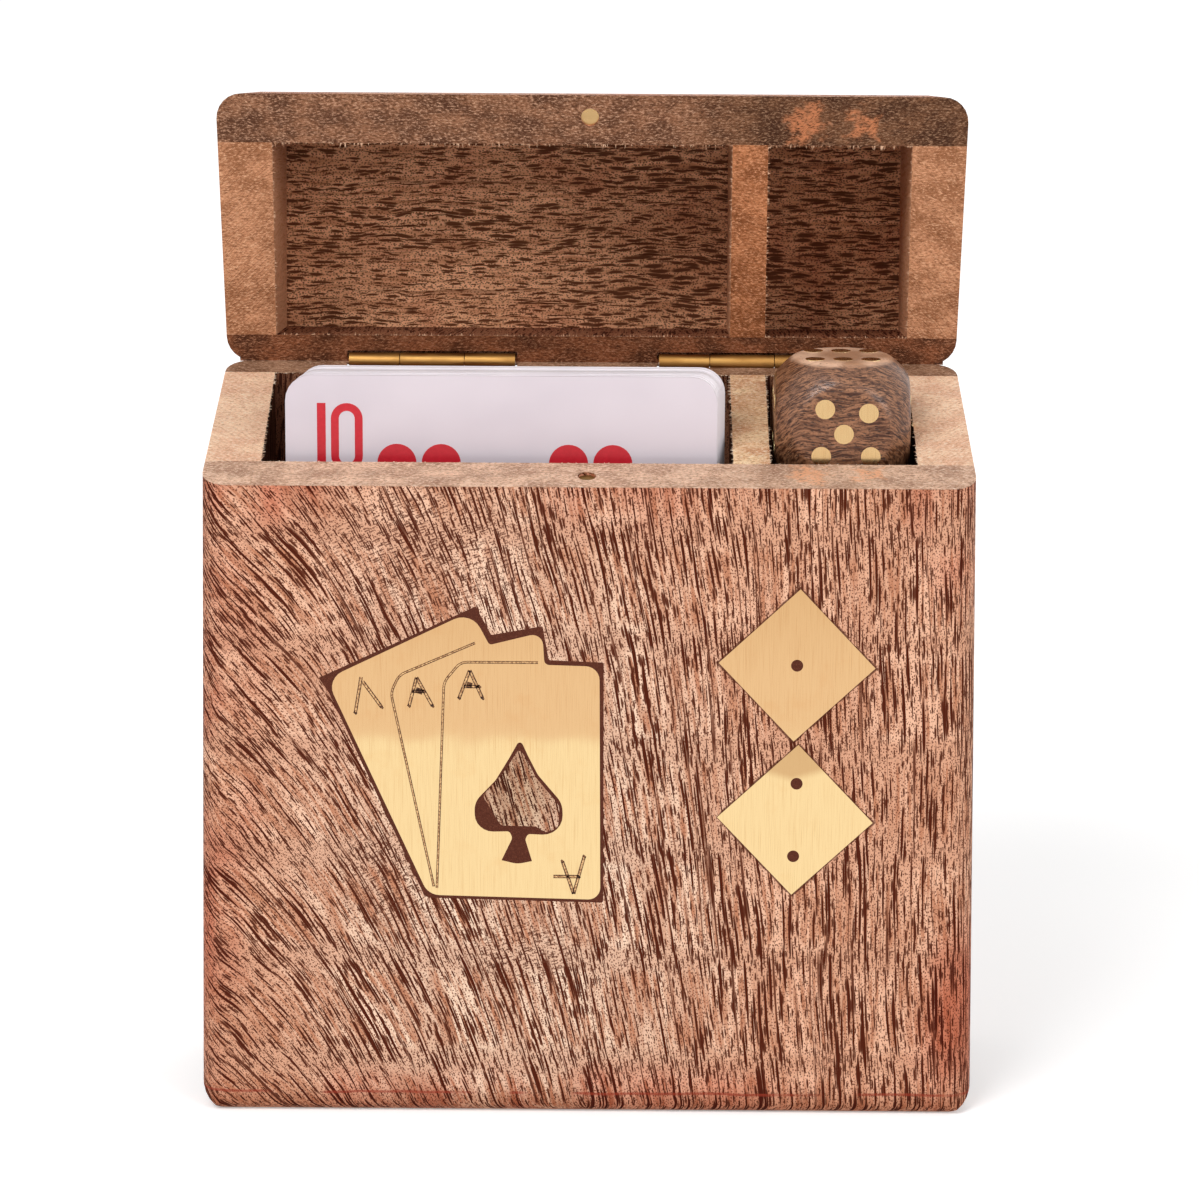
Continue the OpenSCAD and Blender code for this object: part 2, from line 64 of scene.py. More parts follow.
class Finish:
    """A material grown from nodes; an input takes a number, a colour or another node's output."""

    def __init__(self, name):
        self.material = bpy.data.materials.new(name)
        self.material.use_nodes = True
        self.tree = self.material.node_tree
        self.tree.nodes.clear()

    def feed(self, socket, value):
        if isinstance(value, bpy.types.NodeSocket):
            self.tree.links.new(value, socket)
        else:
            socket.default_value = value

    def node(self, kind, inputs=(), **settings):
        made = self.tree.nodes.new("ShaderNode" + kind)
        for key, value in settings.items():
            setattr(made, key, value)
        for key, value in dict(inputs).items():
            self.feed(made.inputs[key], value)
        return made

    def math(self, operation, *values):
        return self.node("Math", dict(enumerate(values)), operation=operation).outputs[0]

    def ease(self, value, low, high, start=0.0, end=1.0):
        """start where value is low, end where it is high, and a smooth step between."""
        inputs = {0: value, 1: low, 2: high, 3: start, 4: end}
        return self.node("MapRange", inputs, interpolation_type="SMOOTHSTEP").outputs[0]

    def mix(self, share, first, second, blend="MIX"):
        return self.node("Mix", {0: share, 6: first, 7: second}, data_type="RGBA", blend_type=blend).outputs[2]

    def tint(self, colour, share, strength, other, blend="MIX"):
        """The colour, mixed with another by a share of the strength."""
        return self.mix(self.math("MULTIPLY", share, strength), colour, other, blend)

    def apart(self, place):
        """A place's three numbers, or a colour's."""
        return self.node("SeparateXYZ", {0: place}).outputs

    def stretch(self, place, sizes):
        """The place with each direction divided by its own size in mm."""
        inputs = {0: place, 1: tuple(1 / s for s in sizes)}
        return self.node("VectorMath", inputs, operation="MULTIPLY").outputs[0]

    def noise(self, place, sizes, detail=2.0, roughness=0.5):
        """Soft noise from 0 to 1, whose clouds are about sizes mm across."""
        inputs = {"Vector": self.stretch(place, sizes), "Scale": 1.0, "Detail": detail, "Roughness": roughness}
        return self.node("TexNoise", inputs).outputs[0]

    def pores(self, place, sizes, radius, soft=0.5):
        """1 inside marks round the points of a random lattice whose cells are sizes mm, else 0. Two sizes
        lay the marks out across and along the grain, three fill space. The radius is a share of a cell,
        and each mark has its own share of it."""
        inputs = {"Vector": self.stretch(place, (*sizes, 1.0)[:3]), "Scale": 1.0}
        lattice = self.node("TexVoronoi", inputs, voronoi_dimensions=f"{len(sizes)}D")
        own = self.apart(lattice.outputs["Color"])[0]
        reach = self.math("MULTIPLY", self.math("MULTIPLY_ADD", own, 0.9, 0.45), radius)
        return self.ease(lattice.outputs["Distance"], reach, self.math("MULTIPLY", reach, soft))

    def place(self, on_lid=False):
        """The point in mm, in the frame of the closed box: a lid's point is turned shut first."""
        point = self.node("TexCoord").outputs["Object"]
        if on_lid:
            centre = (0.0, HINGE_Y * MM, HINGE_Z * MM)
            inputs = {"Vector": point, "Center": centre, "Angle": LID_TURN}
            point = self.node("VectorRotate", inputs, rotation_type="X_AXIS").outputs[0]
        return self.node("VectorMath", {0: point, "Scale": 1 / MM}, operation="SCALE").outputs[0]

    def near(self, place, centre, sizes):
        """1 at a centre, falling to 0 on an ellipsoid with half axes sizes, in mm."""
        moved = self.node("VectorMath", {0: place, 1: centre}, operation="SUBTRACT").outputs[0]
        away = self.node("VectorMath", {0: self.stretch(moved, sizes)}, operation="LENGTH").outputs["Value"]
        return self.ease(away, 1.0, 0.25)

    def skin(self, colour, height, depth, roughness, **sockets):
        """Ends the material: the shader, with bumps depth mm deep where the height runs from 0 to 1."""
        bump = self.node("Bump", {"Strength": 1.0, "Distance": depth * MM, "Height": height}).outputs[0]
        inputs = {"Base Color": colour, "Roughness": roughness, "Normal": bump}
        inputs.update({key.replace("_", " "): value for key, value in sockets.items()})
        shader = self.node("BsdfPrincipled", inputs)
        self.node("OutputMaterial", {0: shader.outputs[0]})
        return self.material


BOARD_HALF = 50.8
BAND_HIGH = 29.0


def fanned_grain(finish, place, start):
    """Across, along and deep for grain that leans 50 degrees at the left edge and stands upright at the
    right: the lean falls off exponentially with x, and is laid out afresh in bands, the first at start.
    With it comes a share, 1 in a band's middle and 0 at its seams. On the side faces the way in from
    the front takes the place of x."""
    x, y, z = finish.apart(place)
    x = finish.math("MULTIPLY_ADD", finish.math("SIGN", x), finish.math("SUBTRACT", y, FRONT_Y), x)
    level = finish.math("DIVIDE", finish.math("SUBTRACT", z, start), BAND_HIGH)
    band = finish.math("FLOOR", level)
    rise = finish.math("SUBTRACT", finish.math("SUBTRACT", level, band), 0.5)
    rise = finish.math("MULTIPLY", rise, BAND_HIGH)
    share = finish.ease(finish.math("ABSOLUTE", rise), 10.4, 5.9)
    inside = finish.math("ADD", x, BOARD_HALF)
    fade = [finish.math("EXPONENT", finish.math("DIVIDE", inside, -length)) for length in (42.0, 22.0, 38.0)]
    lean = finish.math("MULTIPLY_ADD", fade[0], math.radians(54), math.radians(-4))
    sway = finish.math("MULTIPLY_ADD", finish.noise(place, (14, 14, 40)), 3.0, x)
    across = finish.math("MULTIPLY_ADD", fade[1], 7.9, sway)
    across = finish.math("MULTIPLY_ADD", rise, finish.math("SINE", lean), across)
    along = finish.math("MULTIPLY", rise, finish.math("COSINE", lean))
    along = finish.math("MULTIPLY_ADD", fade[2], 29.3, along)
    across = finish.math("ADD", finish.math("MULTIPLY_ADD", band, 137.0, across), start)
    return finish.node("CombineXYZ", {0: across, 1: along, 2: y}).outputs[0], share


def upright_grain(finish, place):
    """Across, along and deep for grain that stands upright and sways a little. The way across is x, and
    goes on round the back corners as the way in from the back, so the marks show on every upright face."""
    x, y, z = finish.apart(place)
    round_back = finish.math("MULTIPLY_ADD", finish.math("SIGN", x), finish.math("SUBTRACT", HINGE_Y, y), x)
    sway = finish.math("MULTIPLY_ADD", finish.noise(place, (16, 16, 45)), 5.0, round_back)
    return finish.node("CombineXYZ", {0: sway, 1: z, 2: y}).outputs[0], 1.0


def lying_grain(finish, place):
    """Across, along and deep for grain that lies along x, as in a strip across the box."""
    x, y, z = finish.apart(place)
    sway = finish.math("MULTIPLY_ADD", finish.noise(place, (30, 12, 12)), 3.0, finish.math("ADD", y, z))
    sway = finish.math("MULTIPLY_ADD", finish.noise(place, (6, 3.5, 3.5)), 1.3, sway)
    return finish.node("CombineXYZ", {0: sway, 1: x, 2: z}).outputs[0], 1.0


def figure(finish, grains, light, middle, pore, crowd=1.0, runs=1.0):
    """Colour and height of planed hardwood: fibres in two tones, long bold pores that gather in streaks,
    thinner ones between them, dark strings of fibre, and fine dots everywhere. Each (grain, share) gives
    its share of it. A greater crowd brings more pores. With runs below 1 the long ones are slighter
    and the short ones stouter."""
    total = {}
    for grain, share in grains:
        gather = finish.ease(finish.noise(grain, (3.5, 40, 3.5)), 0.3, 0.64, 0.7 * crowd, 1.3 * crowd)
        gather = finish.math("MULTIPLY", gather, share)
        widths = (0.18 * runs, 0.22 * runs, 0.25 * (1.6 - 0.6 * runs))
        bold, thin, short = (finish.math("MULTIPLY", gather, width) for width in widths)
        fibres = finish.noise(grain, (0.5, 8, 0.5), detail=3.0, roughness=0.65)
        strings = finish.ease(finish.noise(grain, (0.42, 48, 0.42)), 0.6, 0.7, 0.0, runs)
        layers = {
            "tone": finish.math("MULTIPLY", fibres, share),
            "cloud": finish.math("MULTIPLY", finish.noise(grain, (5, 50, 5)), share),
            "bold": finish.pores(grain, (0.85, 24), bold, soft=0.7),
            "thin": finish.pores(grain, (0.6, 11), thin, soft=0.6),
            "short": finish.pores(grain, (0.55, 3.2), short),
            "run": finish.math("MULTIPLY", strings, share),
        }
        for name, value in layers.items():
            joined = "ADD" if name in ("tone", "cloud") else "MAXIMUM"
            total[name] = finish.math(joined, total[name], value) if name in total else value
    dots = finish.pores(grains[0][0], (0.29, 0.4), 0.37 * crowd, soft=0.4)
    colour = finish.mix(finish.ease(total["tone"], 0.34, 0.62), middle, light)
    colour = finish.mix(finish.ease(total["cloud"], 0.4, 0.68, 0.0, 0.5), colour, middle)
    depth = finish.math("MULTIPLY", dots, 0.6)
    for name, strength in (("short", 0.8), ("run", 0.75), ("thin", 0.9), ("bold", 1.0)):
        depth = finish.math("MAXIMUM", depth, finish.math("MULTIPLY", total[name], strength))
    colour = finish.mix(finish.ease(depth, 0.0, 0.6, 0.0, 0.9), colour, finish.mix(0.35, pore, middle))
    colour = finish.mix(finish.ease(depth, 0.35, 0.95), colour, pore)
    hollow = finish.math("MAXIMUM", total["bold"], finish.math("MAXIMUM", total["thin"], total["short"]))
    hollow = finish.math("MAXIMUM", hollow, finish.math("MULTIPLY", dots, 0.5))
    height = finish.math("SUBTRACT", finish.math("MULTIPLY", total["tone"], 0.35), hollow)
    return colour, height


def sawn(finish, place, light, dark, fleck):
    """Colour and height of a saw-cut face: torn fibres as coarse speckle, saw marks and cloudy tone."""
    speckle = finish.noise(place, (0.5, 0.2, 0.2), detail=4.0, roughness=0.75)
    marks = finish.noise(place, (2.4, 0.4, 0.4), detail=3.0)
    clouds = finish.noise(place, (5, 3.5, 5), detail=3.0)
    colour = finish.mix(finish.ease(clouds, 0.38, 0.66, 0.0, 0.9), light, dark)
    colour = finish.mix(finish.ease(marks, 0.48, 0.68, 0.0, 0.5), colour, dark)
    deep = finish.mix(0.4, dark, tone(70, 42, 28))
    colour = finish.mix(finish.ease(speckle, 0.49, 0.37, 0.0, 0.85), colour, deep)
    colour = finish.mix(finish.ease(speckle, 0.5, 0.66, 0.0, 0.95), colour, fleck)
    return colour, speckle


def rimmed(finish, place, colour, height, torn, teeth):
    """Colour and height of a board, changed to torn wood on the saw cut between body and lid."""
    x, y, z = finish.apart(place)
    plane = finish.math("MULTIPLY_ADD", finish.math("SUBTRACT", y, FRONT_Y), RIM_SLOPE, RIM_Z)
    cut = finish.ease(finish.math("ABSOLUTE", finish.math("SUBTRACT", z, plane)), 0.16, 0.05)
    ragged = finish.math("MULTIPLY", finish.math("MULTIPLY", teeth, cut), 1.5)
    return finish.mix(cut, colour, torn), finish.math("ADD", height, ragged)


def soften(node):
    """Rounds the shading of a CAD node's fine facets: doubles joined, sharp edges kept, flats kept flat."""
    node.modifiers.new("join", "WELD").merge_threshold = 0.000002
    node.modifiers.new("sharp", "EDGE_SPLIT").split_angle = math.radians(32)
    weighted = node.modifiers.new("round", "WEIGHTED_NORMAL")
    weighted.mode = "FACE_AREA"
    weighted.weight = 100


def dress(name, material):
    """Gives a CAD node its finish in every material slot."""
    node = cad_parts[name]
    for slot in node.material_slots:
        slot.material = material
    soften(node)


FRONT_INNER, BACK_INNER = (corner[1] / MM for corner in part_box("body_left_strip"))
BOX_TOP = 122.0
# Painted shade for the insides of the body's bays.
BAY_PAINTED_SHADE = tone(150, 128, 112)


def unseen_faces(finish, place, colour, on_lid):
    """The colour, changed on the faces that show less: end grain, as rings of dark dots, above and below,
    and painted shade on the insides of the bays, stronger in the body than in the lid."""
    x, y, z = finish.apart(place)
    ends = finish.math("MAXIMUM", finish.ease(z, BOX_TOP - 0.5, BOX_TOP - 0.1), finish.ease(z, 0.5, 0.1))
    rings = finish.noise(place, (9, 1.1, 9), detail=3.0)
    dots = finish.pores(place, (0.42, 0.42, 4.0), 0.27)
    grain = finish.mix(finish.ease(rings, 0.4, 0.6), tone(206, 152, 120), tone(164, 108, 78))
    grain = finish.tint(grain, dots, 0.8, tone(74, 34, 18))
    colour = finish.mix(ends, colour, grain)
    behind = finish.ease(y, FRONT_INNER - 0.2, FRONT_INNER - 0.08)
    before = finish.ease(y, BACK_INNER + 0.2, BACK_INNER + 0.08)
    # Painted shade: the faces inside the bays are darkened in their colour, less in the lid than in the body.
    painted_bay_shade = tone(186, 158, 136) if on_lid else BAY_PAINTED_SHADE
    return finish.tint(colour, finish.math("MINIMUM", behind, before), 0.9, painted_bay_shade, "MULTIPLY")


def inlay_seam(finish, place, name):
    """1 in the thin dark line of glue round a four-cornered inlay, by the distance out from its sides."""
    points = np.empty(len(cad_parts[name].data.vertices) * 3)
    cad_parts[name].data.vertices.foreach_get("co", points)
    points = points.reshape(-1, 3)[:, [0, 2]] / MM
    corners = points[np.concatenate([points.argmin(0), points.argmax(0)])]
    out = -99.0
    for start, end in zip(corners, np.roll(corners, -1, 0)):
        across, up = (end - start) / np.linalg.norm(end - start)
        inputs = {0: place, 1: (up, 0.0, -across)}
        side = finish.node("VectorMath", inputs, operation="DOT_PRODUCT").outputs["Value"]
        side = finish.math("SUBTRACT", side, up * start[0] - across * start[1])
        out = finish.math("MAXIMUM", out, side)
    width = finish.ease(finish.noise(place, (2.2, 2.2, 2.2)), 0.35, 0.65, 0.14, 0.42)
    return finish.ease(finish.math("DIVIDE", out, width), 1.0, 0.5)


WOVEN_SPOTS = (
    ((-21, FRONT_Y, 77), (22, 9, 14), 1.0),
    ((-25, FRONT_Y, 33), (12, 9, 11), 1.0),
    ((-8, FRONT_Y, 22), (10, 9, 8), 1.0),
)
STAINS = (
    ((-52, FRONT_Y, 45), (13, 14, 60), 1.0),
    ((-44, FRONT_Y, 86), (17, 9, 9), 1.0),
    ((6, FRONT_Y, 88), (22, 9, 13), 0.7),
    ((50, FRONT_Y, 12), (9, 14, 22), 1.0),
    ((48, FRONT_Y, 84), (13, 14, 18), 0.7),
    ((-5, FRONT_Y, 3), (55, 9, 6), 0.9),
)
HEARTWOOD = (((28.8, -14.2, RIM_Z), (3.8, 3.2, 9)), ((36.4, -14.6, RIM_Z), (2.8, 3.0, 9)))
SCRIBED_Z = 3.2


def any_near(finish, place, spots):
    """The greatest share of any spot, each a centre, its half axes and its strength."""
    shares = [finish.math("MULTIPLY", finish.near(place, c, sizes), strength) for c, sizes, strength in spots]
    most = shares[0]
    for share in shares[1:]:
        most = finish.math("MAXIMUM", most, share)
    return most


def marked(finish, place, grain, colour):
    """The front's colour with all that is only here and there on it: figure woven across the grain, red
    stains, a red line scribed over the foot, the foot darker in its lowest few mm, and dull wood in the spade's
    window."""
    flecks = finish.pores(grain, (1.5, 0.36), 0.35)
    woven = finish.math("MULTIPLY", flecks, any_near(finish, place, WOVEN_SPOTS))
    colour = finish.tint(colour, woven, 0.85, tone(98, 52, 35))
    clouds = finish.noise(place, (8, 8, 14), detail=3.0)
    stain = finish.math("MULTIPLY", any_near(finish, place, STAINS), finish.ease(clouds, 0.3, 0.68))
    colour = finish.tint(colour, stain, 0.75, tone(216, 142, 120), "MULTIPLY")
    z = finish.apart(place)[2]
    above = finish.math("SUBTRACT", z, SCRIBED_Z)
    above = finish.math("MULTIPLY_ADD", finish.noise(place, (9, 9, 9)), 0.9, above)
    scribed = finish.ease(finish.math("ABSOLUTE", above), 0.26, 0.1)
    scribed = finish.math("MULTIPLY", scribed, finish.ease(clouds, 0.4, 0.5))
    colour = finish.tint(colour, scribed, 0.7, tone(158, 62, 44))
    foot = finish.ease(z, 4.2, 0.9)
    colour = finish.tint(colour, foot, 0.9, tone(206, 182, 168), "MULTIPLY")
    window = finish.near(place, (-9.3, FRONT_Y, 45), (8, 9, 12))
    return finish.tint(colour, window, 0.75, tone(186, 170, 152), "MULTIPLY")


def front_board(name, on_lid, rim):
    """The front's wood. Its sawn rim is greyer towards the right, with two torn spots of red heartwood."""
    finish = Finish(name)
    place = finish.place(on_lid)
    grains = [fanned_grain(finish, place, start) for start in (0.0, BAND_HIGH / 2)]
    middle = finish.near(place, (-10, FRONT_Y, 30), (40, 12, 75))
    light = finish.mix(middle, tone(240, 188, 157), tone(255, 224, 197))
    colour, height = figure(finish, grains, light, tone(192, 129, 97), tone(80, 29, 12))
    colour = marked(finish, place, grains[0][0], colour)
    if not on_lid:
        seams = [inlay_seam(finish, place, f"die_inlay_{part}") for part in ("upper", "lower")]
        colour = finish.tint(colour, finish.math("MAXIMUM", *seams), 0.85, tone(84, 40, 24))
    colour = unseen_faces(finish, place, colour, on_lid)
    torn, teeth = sawn(finish, place, *rim[:3])
    grey = finish.ease(finish.apart(place)[0], 8.0, 24.0, 0.0, 1.0 if on_lid else 0.15)
    torn = finish.mix(grey, torn, tone(206, 204, 198), "MULTIPLY")
    inputs = {"Vector": finish.stretch(place, (1.6, 1.2, 1.6)), "Scale": 1.0, "Detail": 3.0}
    bend = finish.node("TexNoise", inputs).outputs["Color"]
    bend = finish.node("VectorMath", {0: bend, 1: (-0.5, -0.5, -0.5)}, operation="ADD").outputs[0]
    bend = finish.node("VectorMath", {0: bend, "Scale": 9.0}, operation="SCALE").outputs[0]
    bent = finish.node("VectorMath", {0: place, 1: bend}, operation="ADD").outputs[0]
    for centre, sizes in HEARTWOOD:
        heart = finish.math("MULTIPLY", finish.near(bent, centre, sizes), finish.ease(teeth, 0.36, 0.52))
        torn = finish.tint(torn, heart, 0.9, rim[3])
    colour, height = rimmed(finish, place, colour, height, torn, teeth)
    roughness = finish.ease(height, -0.9, 0.3, 0.8, 0.5)
    return finish.skin(colour, height, 0.07, roughness, Specular_IOR_Level=0.09)


BODY_RIM = (tone(240, 196, 166), tone(182, 138, 112), tone(255, 226, 202), tone(242, 176, 134))
# The lid's rim is cut from the same wood as the body's; its darker tones are painted shade, for a rim that faces
# forward and not up.
LID_RIM_PAINTED_SHADE = (tone(152, 103, 74), tone(88, 53, 36), tone(214, 166, 134), tone(206, 130, 88))
dress("body_front_board", front_board("front_wood", False, BODY_RIM))
dress("lid_front_board", front_board("lid_front_wood", True, LID_RIM_PAINTED_SHADE))

# BACK BOARDS
# Thinner boards of the same wood, quieter in the grain, glued over the strips at the back. The
# hinge leaves are let into them, and their rims are sawn with the rest.


def plain_board(name, on_lid, rim, tones, lying=False, crowd=1.0, runs=1.0, inner=0.0):
    """Wood with a sawn rim, its grain upright or lying along x. Its faces nearer the middle than inner,
    in mm across the box, are the inside of a bay: darkened by painted shade in the body, and in the lid plain and
    smooth, lifted by painted light to a lighter tone."""
    finish = Finish(name)
    place = finish.place(on_lid)
    grain = lying_grain(finish, place) if lying else upright_grain(finish, place)
    colour, height = figure(finish, [grain], *tones, crowd, runs)
    clouds = finish.noise(place, (10, 10, 22), detail=3.0)
    colour = finish.mix(finish.ease(clouds, 0.5, 0.75, 0.0, 0.35), colour, tone(186, 104, 78), "MULTIPLY")
    if not lying:
        colour = unseen_faces(finish, place, colour, on_lid)
    if inner:
        x = finish.math("ABSOLUTE", finish.apart(place)[0])
        bay = finish.ease(x, inner + 0.2, inner + 0.08, 0.0, 0.9)
        # Painted light on the lid's bay walls, a plain lighter tone; painted shade on the body's.
        if on_lid:
            colour = finish.tint(colour, bay, 0.8, tone(226, 164, 124))
        else:
            colour = finish.mix(bay, colour, BAY_PAINTED_SHADE, "MULTIPLY")
    torn, teeth = sawn(finish, place, *rim[:3])
    colour, height = rimmed(finish, place, colour, height, torn, teeth)
    roughness = finish.ease(height, -0.9, 0.3, 0.78, 0.5)
    return finish.skin(colour, height, 0.06, roughness, Specular_IOR_Level=0.09)


BACK_RIM = (tone(166, 124, 96), tone(122, 84, 60), tone(206, 168, 140))
# The lid's back rim is the same wood as the body's, painted darker: painted shade.
LID_BACK_RIM_PAINTED_SHADE = (tone(142, 84, 54), tone(78, 42, 24), tone(184, 128, 96))
BACK_TONES = (tone(214, 166, 138), tone(184, 132, 104), tone(92, 48, 33))
dress("body_back_board", plain_board("back_wood", False, BACK_RIM, BACK_TONES))
dress("lid_back_board", plain_board("lid_back_wood", True, LID_BACK_RIM_PAINTED_SHADE, BACK_TONES))

# ARRISES ALONG THE HINGE LINE
# The back boards' sawn edges run out to the line the lid turns about, and are a little torn there.
# The solids leave a groove of 0.5 mm round that line, which these two slim edges fill.
GROOVE = 0.5
EDGE_STRAIGHT, EDGE_END, EDGE_ROUND = 46.72, 48.35, 3.4
LEAF_GAP = 0.02
BACK_OUT = {1: -0.01, -1: 0.06}
RIDGE_OUT, RIDGE_UP = 0.09, 0.2


def new_piece(name, points, faces, material, body, smooth=False):
    """A mesh piece from points in mm and faces, with its finish, riding on a body."""
    mesh = bpy.data.meshes.new(name)
    mesh.from_pydata((np.asarray(points, float) * MM).tolist(), [], [tuple(f) for f in faces])
    mesh.materials.append(material)
    mesh.polygons.foreach_set("use_smooth", np.full(len(mesh.polygons), smooth))
    mesh.update()
    piece = bpy.data.objects.new(name, mesh)
    bpy.context.scene.collection.objects.link(piece)
    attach(piece, body)
    return piece


def swung_open(points):
    """Points of the closed lid, turned back about the hinge line to where the lid stands open."""
    cos, sin = math.cos(LID_TURN), math.sin(LID_TURN)
    y, z = points[:, 1] - HINGE_Y, points[:, 2] - HINGE_Z
    return np.stack([points[:, 0], HINGE_Y + y * cos + z * sin, HINGE_Z - y * sin + z * cos], 1)


def hinge_arris(up, spans, rng):
    """A prism along x: at each x its section is the corner between the back face and the saw cut, cut
    off by the groove. up is 1 on the lid, -1 on the body. On the lid a low ridge of the back face
    closes the sight under it."""
    points, faces = [], []
    for low, high in spans:
        x = np.linspace(low, high, max(2, int((high - low) / 0.4)))
        out = np.clip(np.abs(x) - EDGE_STRAIGHT, 0, None)
        rounded = EDGE_ROUND - np.sqrt(EDGE_ROUND**2 - out**2)
        back = HINGE_Y + BACK_OUT[up] - rounded - rng.uniform(0, 0.03, len(x))
        front = np.minimum(back - 0.02, HINGE_Y - GROOVE + 0.01)
        gap = up * (0.012 + rng.uniform(0, 0.02, len(x)))
        far = HINGE_Z + up * np.sqrt(np.maximum(GROOVE**2 - (HINGE_Y - back) ** 2, 0.01))
        cut = [(y, HINGE_Z + (y - HINGE_Y) * RIM_SLOPE + gap) for y in (back, front)]
        ridge = (HINGE_Y + RIDGE_OUT, HINGE_Z + RIDGE_UP) if up > 0 else (back, (HINGE_Z + far) / 2)
        corners = [*cut, (back, far), ridge]
        section = np.stack([np.stack(np.broadcast_arrays(x, y, z), 1) for y, z in corners], 1)
        index = sum(len(p) for p in points) + np.arange(len(x) * 4).reshape(-1, 4)
        points.append(section.reshape(-1, 3))
        for a, b in ((0, 1), (1, 2), (2, 3), (3, 0)):
            quads = np.stack([index[:-1, a], index[1:, a], index[1:, b], index[:-1, b]], 1)
            faces += [tuple(q if up < 0 else q[::-1]) for q in quads]
        faces += [tuple(index[0][::-up]), tuple(index[-1][::up])]
    points = np.concatenate(points)
    return (swung_open(points) if up > 0 else points), faces


edges = [-EDGE_END]
for side in ("left", "right"):
    boxes = np.array([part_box(f"hinge_{side}_{part}_leaf") for part in ("body", "lid")]) / MM
    edges += [boxes[..., 0].min() - LEAF_GAP, boxes[..., 0].max() + LEAF_GAP]
edges.append(EDGE_END)
spans = list(zip(edges[::2], edges[1::2]))
saw_rng = np.random.default_rng(3)
for body, up, rim in (("box_body", -1, BACK_RIM), ("lid", 1, LID_BACK_RIM_PAINTED_SHADE)):
    points, faces = hinge_arris(up, spans, saw_rng)
    wood = plain_board(f"{body}_arris_wood", up > 0, rim, BACK_TONES)
    new_piece(f"{body}_arris", points, faces, wood, body)

# STRIPS AND DIVIDERS
# Paler softwood-like strips between the two boards: the sides, the floor, the lid's top, and the
# walls between the two bays. Their sawn ends are light tan, and the lid's top shows dark dashes inside.
STRIP_RIM = (tone(255, 212, 176), tone(236, 182, 148), tone(255, 236, 212))
DIVIDER_RIM = (tone(255, 216, 170), tone(214, 152, 110), tone(255, 240, 212))
# The lid's sawn ends are painted darker than the body's: painted shade.
LID_STRIP_RIM_PAINTED_SHADE = (tone(204, 142, 104), tone(158, 102, 68), tone(232, 178, 140))
LID_DIVIDER_RIM_PAINTED_SHADE = (tone(192, 122, 80), tone(134, 76, 42), tone(230, 164, 122))
BAY_HALF = 43.3
STRIP_TONES = (tone(206, 156, 126), tone(170, 118, 90), tone(90, 46, 30))
TOP_TONES = (tone(255, 194, 150), tone(210, 146, 106), tone(92, 50, 28))
STRIPS = (
    ("body_left_strip", "left_strip_wood", STRIP_RIM),
    ("lid_left_strip", "lid_left_strip_wood", LID_STRIP_RIM_PAINTED_SHADE),
    ("body_right_strip", "right_strip_wood", STRIP_RIM),
    ("lid_right_strip", "lid_right_strip_wood", LID_STRIP_RIM_PAINTED_SHADE),
    ("body_divider", "divider_wood", DIVIDER_RIM),
    ("lid_divider", "lid_divider_wood", LID_DIVIDER_RIM_PAINTED_SHADE),
)
for node, wood, rim in STRIPS:
    dress(node, plain_board(wood, node.startswith("lid"), rim, STRIP_TONES, inner=BAY_HALF))
dress("body_floor_strip", plain_board("floor_strip_wood", False, STRIP_RIM, STRIP_TONES, lying=True))
top_wood = plain_board("top_strip_wood", True, LID_RIM_PAINTED_SHADE, TOP_TONES, lying=True, crowd=1.2, runs=0.45)
dress("lid_top_strip", top_wood)

# TORN FIBRES ROUND THE BAYS
# The saw that parted the lid from the body left short pale fibres standing along the inner edges of
# every rim. Each is a thin sliver rooted in the wood, and lies just inside its own rim's plane.
BAYS = ((-BAY_HALF, 19.0), (23.8, BAY_HALF))
FIBRE_SPACING, FIBRE_ROOT = 0.25, 0.06
FIBRE_LEAST, FIBRE_MORE, FIBRE_TUFTED = 0.05, 0.4, 0.8


def torn_fibres(up, rng):
    """Slivers as four-cornered wedges: two corners on the edge, one under them, and a tip that leans
    over the bay by the least lean plus a random share squared of what may be more, which is greater
    in the tufts that hang along the front of the lid."""
    low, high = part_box("body_left_strip")
    front, back = low[1] / MM, high[1] / MM
    wedges = []
    for left, right in BAYS:
        loop = np.array([(left, front), (right, front), (right, back), (left, back), (left, front)])
        for start, end in zip(loop[:-1], loop[1:]):
            length = np.linalg.norm(end - start)
            run = (end - start) / length
            into = np.array([-run[1], run[0]])
            count = int(length / FIBRE_SPACING)
            root = start + run * rng.uniform(0, length, count)[:, None]
            half = run * rng.uniform(0.04, 0.13, count)[:, None]
            x, y = root.T
            tufted = (up > 0) & (y < front + 0.01) & (np.sin(x * 0.53) + np.sin(x * 1.31) > 0.1)
            more = np.where(tufted, FIBRE_TUFTED, FIBRE_MORE) * rng.uniform(0, 1, count) ** 2
            tip = root + into * (FIBRE_LEAST + more)[:, None] + half * rng.uniform(-2, 2, count)[:, None]
            held = root - FIBRE_ROOT * into
            wedges.append(np.stack([held - half, held + half, root, tip], 1))
    flat = np.concatenate(wedges)
    count = len(flat)
    depth = np.tile([0.04, 0.04, 0.2, 0.0], (count, 1))
    depth[:, 3] = rng.uniform(0.04, 0.12, count)
    z = RIM_Z + (flat[..., 1] - FRONT_Y) * RIM_SLOPE + up * depth
    points = np.concatenate([flat, z[..., None]], 2)
    if up > 0:
        points = swung_open(points.reshape(-1, 3)).reshape(-1, 4, 3)
    a, b, c, d = points.transpose(1, 0, 2)
    inside_out = np.einsum("ij,ij->i", np.cross(b - a, c - a), d - a) > 0
    points[inside_out, :2] = points[inside_out, 1::-1]
    corners = np.array([(0, 1, 2), (0, 2, 3), (0, 3, 1), (1, 3, 2)])
    return points.reshape(-1, 3), (np.arange(count)[:, None, None] * 4 + corners).reshape(-1, 3)


